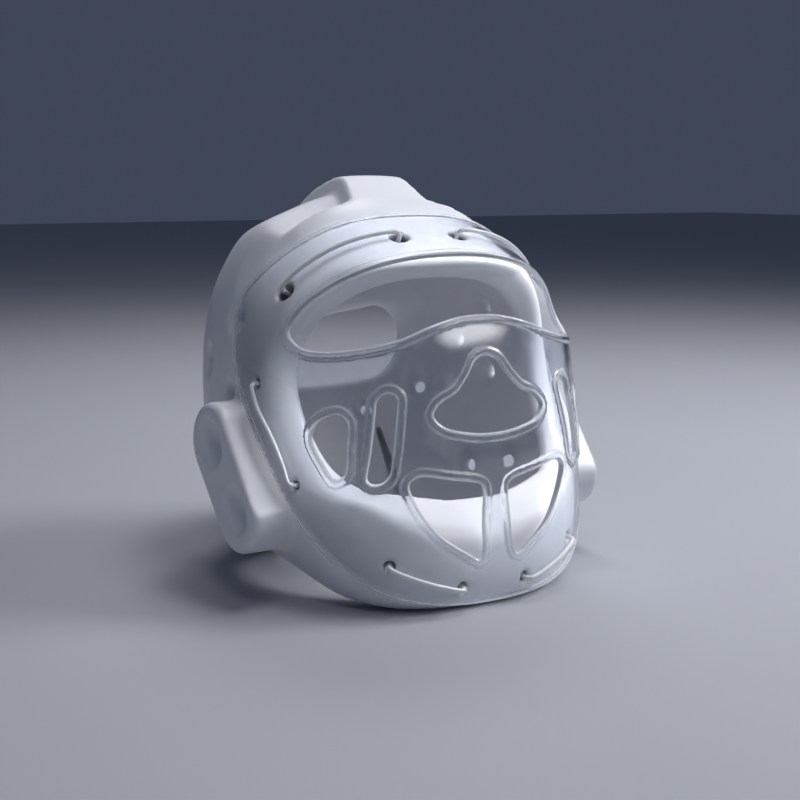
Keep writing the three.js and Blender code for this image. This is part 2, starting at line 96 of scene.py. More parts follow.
def outlineDistance(u, v, outline):
    # signed distance in a flat view to a closed outline, negative inside: nearest of all its edges, sign by crossings
    shape = np.broadcast(u, v).shape
    q = np.stack([np.broadcast_to(u, shape).ravel(), np.broadcast_to(v, shape).ravel()], 1)
    a = np.asarray(outline, float)
    b = np.roll(a, -1, 0)
    along = b - a
    length = np.maximum((along ** 2).sum(1), 1e-12)
    far = np.empty(len(q))
    for lot in np.array_split(np.arange(len(q)), max(1, len(q) * len(a) // 4000000)):
        rel = q[lot, None, :] - a[None]
        t = np.clip((rel * along).sum(2) / length, 0, 1)
        near = np.linalg.norm(rel - t[:, :, None] * along, axis=2).min(1)
        spans = (a[None, :, 1] > q[lot, None, 1]) != (b[None, :, 1] > q[lot, None, 1])
        rise = np.where(np.abs(along[:, 1]) < 1e-9, 1e-9, along[:, 1])
        cross = a[:, 0] + (q[lot, None, 1] - a[:, 1]) / rise * along[:, 0]
        inside = (spans & (q[lot, None, 0] < cross)).sum(1) % 2 == 1
        far[lot] = np.where(inside, -near, near)
    return far.reshape(shape)


def makeMesh(name, points, faces, material, shades=None, normals=None):
    # one mesh from arrays: faces is a list of index arrays with three or four columns, shades is one number per point
    mesh = bpy.data.meshes.new(name)
    sizes = np.concatenate([np.full(len(f), f.shape[1]) for f in faces])
    corners = np.concatenate([f.ravel() for f in faces])
    mesh.vertices.add(len(points))
    mesh.vertices.foreach_set("co", np.ascontiguousarray(points, np.float32).ravel())
    mesh.loops.add(len(corners))
    mesh.loops.foreach_set("vertex_index", corners.astype(np.int32))
    mesh.polygons.add(len(sizes))
    mesh.polygons.foreach_set("loop_start", np.concatenate([[0], np.cumsum(sizes)[:-1]]).astype(np.int32))
    mesh.polygons.foreach_set("use_smooth", np.ones(len(sizes), bool))
    mesh.update(calc_edges=True)
    mesh.validate()
    mesh.materials.append(material)
    if shades is not None:
        column = mesh.attributes.new("shade", "FLOAT", "POINT")
        column.data.foreach_set("value", np.ascontiguousarray(shades, np.float32))
    if normals is not None:
        mesh.normals_split_custom_set_from_vertices(normals)
    piece = bpy.data.objects.new(name, mesh)
    bpy.context.scene.collection.objects.link(piece)
    return piece


# Ovoids: a profile in the middle plane, and a superellipse from ear to ear
ovoid = {
    "hubY": 22, "hubZ": 40, "squareness": 2.55,
    "maskHalf": 100, "outerHalf": 96.5, "innerHalf": 79,
    # control radii round the hub every 15 degrees: face 0, crown 90, back 180, neck 270
    "mask": [118.1, 120.9, 116.2, 113.8, 118.2, 121.5, 121.9, 120.2, 117.9, 116.1, 114.9, 114.2,
             113.9, 114.2, 116.2, 121.3, 130.7, 141.9, 150.8, 154.8, 154.0, 125.9, 120.8, 113.4],
    "outer": [115.2, 118.0, 113.3, 109.0, 119.0, 135.5, 133.2, 133.0, 127.6, 119.4, 114.8, 112.6,
              110.3, 115.3, 122.0, 123.8, 126.6, 131.5, 139.0, 151.9, 151.1, 123.0, 117.9, 110.5],
    "inner": [95.9, 97.0, 93.1, 91.3, 95.9, 108.1, 108.0, 108.1, 103.3, 99.3, 96.8, 94.7,
              92.2, 97.4, 104.9, 107.9, 111.4, 115.2, 120.6, 134.5, 127.4, 104.3, 97.9, 92.9],
}


def profileRadius(column, deg):
    # uniform closed cubic B-spline on the control radii
    ring = np.asarray(ovoid[column])
    place = np.mod(deg, 360) * len(ring) / 360
    row = np.floor(place).astype(int)
    t = place - row
    at = lambda k: ring[(row + k) % len(ring)]
    return ((1 - t) ** 3 * at(-1) + (3 * t ** 3 - 6 * t ** 2 + 4) * at(0)
            + (-3 * t ** 3 + 3 * t ** 2 + 3 * t + 1) * at(1) + t ** 3 * at(2)) / 6


def ovoidPoint(radius, half, x, deg):
    # place on an ovoid across x and round the hub: radius times the superellipse's share
    m = ovoid["squareness"]
    share = (1 - np.minimum(np.abs(x) / half, 1) ** m) ** (1 / m)
    a = np.radians(deg)
    out = radius * share
    return np.stack([x + 0 * a, ovoid["hubY"] - out * np.cos(a), ovoid["hubZ"] + out * np.sin(a)], -1)


def ovoidDistance(radiusAt, half, x, y, z):
    # level of the superellipse less 1, over its slope by small steps, which is about a distance in mm
    m = ovoid["squareness"]

    def level(x, y, z):
        deg = np.degrees(np.arctan2(z - ovoid["hubZ"], ovoid["hubY"] - y))
        out = np.hypot(y - ovoid["hubY"], z - ovoid["hubZ"]) / radiusAt(np.abs(x), deg)
        return ((np.abs(x) / half) ** m + out ** m) ** (1 / m)

    e = 0.4
    here = level(x, y, z)
    slope = (level(x + e, y, z) - here) ** 2 + (level(x, y + e, z) - here) ** 2 + (level(x, y, z + e) - here) ** 2
    return (here - 1) * e / np.sqrt(np.maximum(slope, 1e-9))


# Foam shell: one dipped foam piece with a centre pad, two side pads, two ear pads, vents and a rear opening.
# It is the zero surface of a field and not a grid of two parameters, because it is one moulded body whose pads, holes
# and round lips run into each other.
trough = {"depth": 10, "frontNear": 24, "topNear": 20, "wall": 5, "floorTo": 50, "far": 80,  # mm
          "turn": 0.25, "edge": 0.15,  # rounding in the floor and at the crest, as shares of the depth
          "start": 60, "full": 62.5, "narrow": 70, "fade": 122, "end": 140}  # degrees round the hub
ridge = {"x": 73, "rise": 3.2, "wide": 8, "from": 57, "full": 62, "fade": 84, "to": 102}  # outer edge of each trough
crown = {"edge": 69.5, "edgeRise": 3.2, "edgeWide": 5.5,  # top front edge of the pads
         "dip": 82, "dipDrop": 1.2, "dipWide": 8}
seat = {"wall": 2.4, "gap": 0.6, "margin": 1.0, "round": 1.5,  # the foam is cut back under the mask
        "foot": -90, "centre": 53, "side": 66, "sideFrom": 58, "sideTo": 88, "rise": 8}
foam = {
    "cell": 1.95,  # mm between samples of the field
    "box": ((0, 124), (-99, 146), (-106, 180)),  # mm that the field covers on the wearer's left
    "rounds": 2, "pull": 0.6,  # times the net is evened out, and how far each time
    "lipRound": 9.5, "lipBack": 1.4,  # round lip of the face opening, and how far the rounding sets it back
    "chinRound": 4, "chinFrom": -8, "chinTo": -34,  # the lip is crisper at the chin: heights it changes between
    "footRound": 8, "rearRound": 9, "ventRound": 4.5, "cleftRound": 2, "dishRound": 1.4,
    "faceLine": [(-64, 84.5), (-47, 73), (-33, 58), (-27, 40), (-26, 22), (-31, -6), (-41, -23),
                 (-51, -31), (-57, -42), (-61.5, -53), (-65, -64), (-70, -80)],
    "frontReach": 150,
    # depth and height of the underside, standing
    "underside": [(-64, 0), (-44, 3), (-18, 12), (12, 17), (42, 14), (66, 4), (80, 0)],
}
earPad = {"y": 7.2, "z": 2.4, "face": 115.5, "root": 82, "length": 88.5, "width": 43.5, "round": 4, "fillet": 6,
          "toe": 5, "lean": 17.5,  # degrees
          "dishSpacing": 43, "dishBack": -1.2, "dishRadius": 11.5, "dishDepth": 7, "dishLong": 1.25}
rearOpening = {"halfWidth": 63, "low": 78, "high": 121, "corner": 20, "from": 58}
vents = {"bore": 3.9, "dish": 4.2, "flare": 4.4, "from": -12, "to": 27,
         "dishFrom": -2, "dishTo": 7, "flareFrom": 8, "flareTo": 20,  # mm along the bore
         # place on the inner wall and the turn of the bore from +x towards +y
         "places": [(74, 1, 89, -4), (75, 43, 81, 12), (78, 22, 52, 0), (65, 84, 63, 42), (37.5, 108, 57, 70),
                    (73, 61, 1.5, 22), (76.5, 21, -5.5, 44)]}
cleft = {"turn": 26.3, "lean": 0.1, "tip": 43, "foot": -40, "tipWidth": 3.5, "footWidth": 8, "from": 60,
         "depth": 13, "fadeTop": -4, "fadeFoot": -28, "footDepth": 2}
laces = {
    "radius": 1.25, "hole": 2.3, "pits": {"brow": 5.4, "cheek": 2.7, "chin": 3.2}, "pitDepth": 13, "pitRound": 1.2,
    "sink": 8, "lift": 1.4, "dive": 1.5, "turnIn": 1.6,  # mm into the hole, over the mask, and round the turn between
    "stations": 11, "perSpan": 8, "sides": 14,
    # ends of each on the wearer's left: place across and angle round the hub, then how far it sways outwards between
    "runs": {"brow": ((19, 37), (81.5, 38.5), 0.0), "cheek": ((97.6, 9), (91.5, -48), 1.9),
             "chin": ((20, -58.2), (58.5, -55.8), 0.0)},
}


def maskNormal(x, deg):
    # outward normal of the mask's outside by small steps across and round
    at = lambda dx, dd: ovoidPoint(profileRadius("mask", deg + dd), ovoid["maskHalf"], x + dx, deg + dd)
    n = np.cross(at(0.2, 0) - at(-0.2, 0), at(0, 0.5) - at(0, -0.5))
    return n / np.linalg.norm(n, axis=-1, keepdims=True)


laceEnds = np.array([end for run in laces["runs"].values() for end in run[:2]], float)
laceEndPlaces = ovoidPoint(profileRadius("mask", laceEnds[:, 1]), ovoid["maskHalf"], laceEnds[:, 0], laceEnds[:, 1])
laceEndNormals = maskNormal(laceEnds[:, 0], laceEnds[:, 1])
lacePits = [laces["pits"][run] for run in laces["runs"] for end in (0, 1)]


def foamRadius(x, deg):
    # outer profile, less the troughs either side of the centre pad, less the seat under the mask
    narrower = step(trough["start"], trough["narrow"], deg)
    near = trough["frontNear"] + (trough["topNear"] - trough["frontNear"]) * narrower
    slope = (trough["far"] - x) / (trough["far"] - trough["floorTo"])  # a long even slope up to the side pad
    edged = lambda v, crest: softMin(softMax(v, 0, crest), 1, trough["turn"])
    across = edged((x - near) / trough["wall"], trough["edge"]) * edged(slope, trough["turn"])
    along = edged((deg - trough["start"]) / (trough["full"] - trough["start"]), trough["edge"])
    along = along * (1 - step(trough["fade"], trough["end"], deg))
    proud = profileRadius("outer", deg) - profileRadius("mask", deg) + seat["wall"] + seat["gap"]
    clear = seat["centre"] + (seat["side"] - seat["centre"]) * step(seat["sideFrom"], seat["sideTo"], x)
    under = (1 - step(clear, clear + seat["rise"], deg)) * (deg >= seat["foot"])
    edge = crown["edgeRise"] * np.exp(-((deg - crown["edge"]) / crown["edgeWide"]) ** 2)
    dip = crown["dipDrop"] * np.exp(-((deg - crown["dip"]) / crown["dipWide"]) ** 2)
    high = step(ridge["from"], ridge["full"], deg) * (1 - step(ridge["fade"], ridge["to"], deg))
    edge = edge + ridge["rise"] * np.exp(-((x - ridge["x"]) / ridge["wide"]) ** 2) * high
    cut = trough["depth"] * across * along + np.maximum(proud, 0) * under
    return profileRadius("outer", deg) + edge - dip - cut


def hollowRadius(x, deg):
    # inner profile, the same all the way across
    return profileRadius("inner", deg)


def maskRadius(x, deg):
    # profile of the mask's outside, the same all the way across
    return profileRadius("mask", deg)


def earPadField(x, y, z):
    # stadium block with a round edge, in axes of its own: out of the ear, front to back, and along the pad
    toe, lean = math.radians(earPad["toe"]), math.radians(earPad["lean"])
    px, py, pz = x - earPad["face"], y - earPad["y"], z - earPad["z"]
    out = px * math.cos(toe) - py * math.sin(toe)
    back = px * math.sin(toe) + py * math.cos(toe)
    deep, long = back * math.cos(lean) - pz * math.sin(lean), back * math.sin(lean) + pz * math.cos(lean)
    straight = (earPad["length"] - earPad["width"]) / 2
    side = np.hypot(np.maximum(np.abs(long) - straight, 0), deep) - earPad["width"] / 2 + earPad["round"]
    top = out + earPad["round"]
    pad = np.minimum(np.maximum(side, top), 0) + np.hypot(np.maximum(side, 0), np.maximum(top, 0)) - earPad["round"]
    pad = np.maximum(pad, earPad["root"] - earPad["face"] - out)
    ball = (earPad["dishRadius"] ** 2 + earPad["dishDepth"] ** 2) / (2 * earPad["dishDepth"])
    reach = (np.abs(long) - earPad["dishSpacing"] / 2) / earPad["dishLong"]
    dish = np.sqrt(reach ** 2 + (deep - earPad["dishBack"]) ** 2 + (out - ball + earPad["dishDepth"]) ** 2) - ball
    return pad, dish


def ventField(x, y, z, vent):
    # bore with a dish inside and a flare outside: distance from its axis less a radius that changes along it
    turn = math.radians(vent[3])
    px, py, pz = x - vent[0], y - vent[1], z - vent[2]
    along = px * math.cos(turn) + py * math.sin(turn)
    off = np.sqrt((py * math.cos(turn) - px * math.sin(turn)) ** 2 + pz ** 2)
    dish = vents["dish"] * step(vents["dishTo"], vents["dishFrom"], along)
    bore = off - vents["bore"] - dish - vents["flare"] * step(vents["flareFrom"], vents["flareTo"], along)
    return np.maximum(np.maximum(bore, vents["from"] - along), along - vents["to"])


def cleftField(x, y, z, deep):
    # leaning slit cut into the inner face of the nape, widening downwards and running out above the foot
    turn = math.radians(cleft["turn"])
    py = y - ovoid["hubY"]
    along = x * math.sin(turn) + py * math.cos(turn)
    across = np.abs(x * math.cos(turn) - py * math.sin(turn) - cleft["lean"] * (cleft["tip"] - z))
    share = np.clip((cleft["tip"] - z) / (cleft["tip"] - cleft["foot"]), 0, 1.6)
    wide = (cleft["tipWidth"] + (cleft["footWidth"] - cleft["tipWidth"]) * share) / 2
    floor = cleft["footDepth"] + (cleft["depth"] - cleft["footDepth"]) * step(cleft["fadeFoot"], cleft["fadeTop"], z)
    wedge = np.maximum(np.maximum(across - wide, z - cleft["tip"]), cleft["from"] - along)
    return np.maximum(wedge, deep - floor)


def closedInFront(line):
    # closed outline of what lies in front of a line in the side view
    return np.vstack([smoothLine(line), [(-foam["frontReach"], line[-1][1]), (-foam["frontReach"], line[0][1])]])


faceOutline = closedInFront(foam["faceLine"])
undersideLine = smoothLine(foam["underside"])


def foamField(x, y, z):
    # negative inside the foam: outside ovoid and ear pads joined, less the hollow and every opening
    x = np.abs(x)
    pad, dish = earPadField(x, y, z)
    body = softMin(ovoidDistance(foamRadius, ovoid["outerHalf"], x, y, z), pad, earPad["fillet"])
    body = softMax(body, -dish, foam["dishRound"])
    sheet = -ovoidDistance(maskRadius, ovoid["maskHalf"], x, y, z) - seat["wall"] - seat["gap"]
    body = softMax(body, -np.maximum(sheet, outlineDistance(y, z, borderFront) - seat["margin"]), seat["round"])
    deep = ovoidDistance(hollowRadius, ovoid["innerHalf"], x, y, z)
    body = np.maximum(body, -deep)
    body = softMax(body, -cleftField(x, y, z, deep), foam["cleftRound"])
    lip = foam["lipRound"] + (foam["chinRound"] - foam["lipRound"]) * step(foam["chinFrom"], foam["chinTo"], z)
    body = softMax(body, -outlineDistance(y, z, faceOutline) - foam["lipBack"] * lip / foam["lipRound"], lip)
    wide = x - rearOpening["halfWidth"] + rearOpening["corner"]
    middle, tall = (rearOpening["low"] + rearOpening["high"]) / 2, rearOpening["high"] - rearOpening["low"]
    high = np.abs(z - middle) - tall / 2 + rearOpening["corner"]
    rear = np.minimum(np.maximum(wide, high), 0) + np.hypot(np.maximum(wide, 0), np.maximum(high, 0))
    rear = rear - rearOpening["corner"]
    body = softMax(body, -np.maximum(rear, rearOpening["from"] - y), foam["rearRound"])
    tilt = math.radians(stand["tilt"])
    depth = y * math.cos(tilt) + z * math.sin(tilt)
    height = stand["earHeight"] - y * math.sin(tilt) + z * math.cos(tilt)
    body = softMax(body, np.interp(depth, undersideLine[:, 0], undersideLine[:, 1], 0, 0) - height, foam["footRound"])
    for vent in vents["places"]:
        body = softMax(body, -ventField(x, y, z, vent), foam["ventRound"])
    for place, out, pit in zip(laceEndPlaces, laceEndNormals, lacePits):
        px, py, pz = x - place[0], y - place[1], z - place[2]
        along = px * out[0] + py * out[1] + pz * out[2]
        off = np.sqrt(np.maximum(px ** 2 + py ** 2 + pz ** 2 - along ** 2, 0))
        body = softMax(body, -np.maximum(off - pit, -laces["pitDepth"] - along), laces["pitRound"])
    return body


def surfaceNet(field, low, cell):
    # one vertex in each cell that the surface passes, at the middle of its crossings, and one face for each edge
    # that it crosses
    inside = field < 0
    n = np.array(field.shape)
    corners = [(i, j, k) for i in (0, 1) for j in (0, 1) for k in (0, 1)]
    part = lambda a, c: a[c[0]:n[0] - 1 + c[0], c[1]:n[1] - 1 + c[1], c[2]:n[2] - 1 + c[2]]
    count = sum(part(inside, c).astype(np.int8) for c in corners)
    active = (count > 0) & (count < 8)
    cells = np.argwhere(active)
    index = np.full(active.shape, -1)
    index[active] = np.arange(len(cells))
    total, crossings = np.zeros((len(cells), 3)), np.zeros(len(cells))
    for c in corners:
        for axis in range(3):
            if c[axis]:
                continue
            d = np.array(c)
            d[axis] = 1
            a, b = field[tuple((cells + c).T)], field[tuple((cells + d).T)]
            crossed = (a < 0) != (b < 0)
            spot = np.tile(np.array(c, float), (len(cells), 1))
            spot[:, axis] = np.where(crossed, a / np.where(crossed, a - b, 1), 0)
            total += spot * crossed[:, None]
            crossings += crossed
    points = (cells + total / crossings[:, None]) * cell + low
    faces = []
    for axis in range(3):
        u, v = (axis + 1) % 3, (axis + 2) % 3
        lowSide, highSide = [slice(None)] * 3, [slice(None)] * 3
        lowSide[axis], highSide[axis] = slice(0, n[axis] - 1), slice(1, n[axis])
        for d in (u, v):
            lowSide[d] = highSide[d] = slice(1, n[d] - 1)
        a, b = inside[tuple(lowSide)], inside[tuple(highSide)]
        edges = np.argwhere(a != b)
        outward = a[tuple(edges.T)]
        edges[:, u] += 1
        edges[:, v] += 1
        ring = []
        for du, dv in ((-1, -1), (0, -1), (0, 0), (-1, 0)):
            cellOf = edges.copy()
            cellOf[:, u] += du
            cellOf[:, v] += dv
            ring.append(index[tuple(cellOf.T)])
        ring = np.stack(ring, 1)
        faces.append(np.where(outward[:, None], ring, ring[:, ::-1]))
    return points, np.concatenate(faces)


def settle(points, faces, rounds):
    # evens out the net: each point goes to the middle of its neighbours, then back onto the surface along its slope
    ends = np.concatenate([faces[:, [k, (k + 1) % 4]] for k in range(4)])
    ends = np.concatenate([ends, ends[:, ::-1]])
    near = np.bincount(ends[:, 0], minlength=len(points))[:, None]
    for turn in range(rounds + 1):
        if turn < rounds:
            sums = [np.bincount(ends[:, 0], points[ends[:, 1], k], len(points)) for k in range(3)]
            points = points + foam["pull"] * (np.stack(sums, 1) / near - points)
        e = 0.3
        here = foamField(*points.T)
        slope = np.stack([foamField(*(points + e * np.eye(3)[k]).T) - here for k in range(3)], 1) / e
        size = np.maximum((slope ** 2).sum(1), 0.05)
        move = slope * (here / size)[:, None]
        far = np.linalg.norm(move, axis=1, keepdims=True)
        points = points - move * np.minimum(1, foam["cell"] / np.maximum(far, 1e-9))
    return points


def makeFoam(material):
    # net on the field's zero surface, sampled on one side and mirrored
    cell = foam["cell"]
    x, y, z = (np.arange(low, high, cell) for low, high in foam["box"])
    half = foamField(x[:, None, None], y[None, :, None], z[None, None, :])
    field = np.concatenate([half[:0:-1], half])  # the wearer's right mirrors the left
    points, faces = surfaceNet(field, np.array([-x[-1], y[0], z[0]]), cell)
    points = settle(points, faces, foam["rounds"])
    # shade: painted shade, darker the deeper a point lies in a lace pit
    mirrored = points * [-1, 1, 1]
    deep = np.zeros(len(points))
    for place, out, pit in zip(laceEndPlaces, laceEndNormals, lacePits):
        for side in (points, mirrored):
            along = (side - place) @ out
            off = np.sqrt(np.maximum(((side - place) ** 2).sum(1) - along ** 2, 0))
            deep = np.maximum(deep, (off < pit + 1) * step(-4, -7, along) * (along > -laces["pitDepth"] - 2))
    report("foam shell, %d faces" % len(faces))
    return makeMesh("foamShell", standing(points), [faces], material, deep)


# Face mask: one clear moulded sheet over the face opening, with flat raised rims along its border and round its holes
mask = {
    "cell": 1.15, "wall": 2.4,
    "reach": 166, "rows": (-72, 62),  # grid: mm to each side along the sheet, degrees round the hub
    "faceRadius": 117,  # where lengths from side to side are measured
    "paintedHighlight": {"rim": 0.8, "border": 0.3, "edge": 0.5, "nose": 1.0},  # painted highlight: how strongly each line is drawn white, as a share of the sheet's clearness taken away
    # raised band round each hole and along the border: width, width of its step down to the sheet, and height
    "rim": (3.7, 1.9, 0.8), "border": (3.6, 2.6, 0.6),
    # depth and height down the side, then width and height round each hole
    "borderLine": [(-57, 128.5), (-54, 126.5), (-41, 117), (-23, 107), (-10, 99), (-3, 85), (0, 62), (-4, 40),
                   (-12.5, 7), (-21, -25), (-30, -53), (-40, -75), (-51, -91.5)],
    "eye": [(0, 91), (30, 89.5), (55, 85.5), (73, 79.5), (84, 71), (87.5, 61), (84, 49.5), (75, 43.5), (61, 40.8),
            (46, 41.5), (29, 46), (13, 49.3), (0, 50)],
    "nose": [(0, 31), (7, 28.8), (13, 21), (20.5, 13.5), (30, 9.3), (35, 3), (30, -4.5), (15, -9.6), (0, -11)],
    "mouth": [(6.5, -36), (9, -33), (26, -28.8), (44.5, -24.6), (49.3, -28), (46, -39), (35, -56), (21, -67),
              (12, -72), (8.6, -69), (7.2, -52)],
    "cheek": [(86, 8), (82.3, 15), (75.6, 15), (71.6, 8.5), (72.6, -4), (74.2, -17.6), (78.2, -18.8), (82.6, -9)],
    "slotTop": (54, 19), "slotFoot": (62.5, -26.3), "slotWidth": 12.5,
}


def bothHalves(half):
    # outline closed by its mirror image across the middle
    half = np.array(half, float)
    return np.vstack([half, half[-2:0:-1] * [-1, 1]])


def slotOutline():
    # two half circles along the slot's axis
    top, foot = np.array(mask["slotTop"]), np.array(mask["slotFoot"])
    along = (top - foot) / np.linalg.norm(top - foot)
    side = np.array([along[1], -along[0]])
    r = mask["slotWidth"] / 2
    a = np.linspace(0, math.pi, 14)[:, None]
    upper = top - along * r + r * (np.cos(a) * side + np.sin(a) * along)
    lower = foot + along * r - r * (np.cos(a) * side + np.sin(a) * along)
    return np.vstack([upper, lower])


maskHoles = [smoothLine(bothHalves(mask["eye"]), True, 6), smoothLine(bothHalves(mask["nose"]), True, 6),
             smoothLine(mask["mouth"], True, 6), smoothLine(mask["cheek"], True, 6), slotOutline()]
borderFront = closedInFront(mask["borderLine"])


def acrossTable():
    # superellipse from ear to ear at the face's radius, measured along its own length
    m = ovoid["squareness"]
    a = np.linspace(-1, 1, 40001)
    x = ovoid["maskHalf"] * np.sign(a) * (1 - (1 - np.abs(a)) ** 2)
    share = (1 - (np.abs(x) / ovoid["maskHalf"]) ** m) ** (1 / m)
    length = np.concatenate([[0], np.cumsum(np.hypot(np.diff(x), mask["faceRadius"] * np.diff(share)))])
    return length - length[-1] / 2, x


acrossLength, acrossX = acrossTable()


def maskPoint(s, deg):
    # place on the mask's outside, at a length across and an angle round the hub
    return ovoidPoint(profileRadius("mask", deg), ovoid["maskHalf"], np.interp(s, acrossLength, acrossX), deg)


def sheetNormal(s, deg):
    # outward normal of the sheet by small steps along and round
    n = np.cross(maskPoint(s + 0.4, deg) - maskPoint(s - 0.4, deg), maskPoint(s, deg + 0.2) - maskPoint(s, deg - 0.2))
    return n / np.linalg.norm(n, axis=-1, keepdims=True)


def holeDistance(x, z):
    # distance to the nearest hole in the front view, positive in the sheet
    return np.min([outlineDistance(np.abs(x), z, hole) for hole in maskHoles], 0)


def borderDistance(y, z):
    # distance in from the border in the side view, positive in the sheet
    return -outlineDistance(y, z, borderFront)


def raisedBand(distance, axes, p, normal, sizes):
    # flat band in from an edge with a smooth step down to the sheet: t is a flat view's distance over its slope along
    # the sheet, q runs from 0 at the band's foot to 1 on it, and the normal leans against the step
    wide, fall, rise = sizes
    e = 0.05
    u, v = p[:, axes[0]], p[:, axes[1]]
    flat = distance(u, v)
    near = flat < 2 * wide
    way = np.zeros_like(p)
    un, vn = u[near], v[near]
    way[near, axes[0]] = (distance(un + e, vn) - distance(un - e, vn)) / (2 * e)
    way[near, axes[1]] = (distance(un, vn + e) - distance(un, vn - e)) / (2 * e)
    way -= (way * normal).sum(1, keepdims=True) * normal
    size = np.clip(np.linalg.norm(way, axis=1), 0.25, 1.5)
    q = np.where(near, np.clip((wide - flat / size) / fall, 0, 1), 0)
    lean = 6 * q * (1 - q) * rise / fall / size
    # the second value peaks in the middle of the step, where the painted highlight line is drawn
    return rise * q * q * (3 - 2 * q), 4 * q * (1 - q), lean[:, None] * way, way / size[:, None], np.abs(flat / size)


def maskEdges(p):
    # distances in from the border, from the holes and from the lace holes, each positive in the sheet
    x = np.abs(p[..., 0])
    border = borderDistance(p[..., 1], p[..., 2])
    holes = holeDistance(x, p[..., 2])
    beside = p.copy()
    beside[..., 0] = x
    small = np.min([np.linalg.norm(beside - place, axis=-1) for place in laceEndPlaces], 0) - laces["hole"]
    return border, holes, small


def overSlope(value, p):
    # a flat view's distance over its slope along the sheet, which makes it a distance on the sheet
    pi, pj = np.gradient(p, axis=0), np.gradient(p, axis=1)
    fi, fj = np.gradient(value, axis=0), np.gradient(value, axis=1)
    e, g, k = (pi ** 2).sum(-1), (pj ** 2).sum(-1), (pi * pj).sum(-1)
    slope = (fi ** 2 * g - 2 * fi * fj * k + fj ** 2 * e) / np.maximum(e * g - k ** 2, 1e-9)
    return value / np.clip(np.sqrt(np.maximum(slope, 0)), 0.25, 1.5)


def snapped(s, deg, value, free):
    # moves grid points beside a level line onto it, along the grid edge with the nearest crossing
    best = np.full(value.shape, 0.5)
    newS, newDeg = s.copy(), deg.copy()
    for axis in (0, 1):
        for way in (1, -1):
            other = np.roll(value, -way, axis)
            rim = [slice(None), slice(None)]
            rim[axis] = -1 if way == 1 else 0
            crossed = (value > 0) != (other > 0)
            crossed[tuple(rim)] = False
            share = np.where(crossed, value / np.where(crossed, value - other, 1), 1)
            better = crossed & free & (share <= best)
            best = np.where(better, share, best)
            newS = np.where(better, s + share * (np.roll(s, -way, axis) - s), newS)
            newDeg = np.where(better, deg + share * (np.roll(deg, -way, axis) - deg), newDeg)
    moved = (newS != s) | (newDeg != deg)
    return newS, newDeg, moved


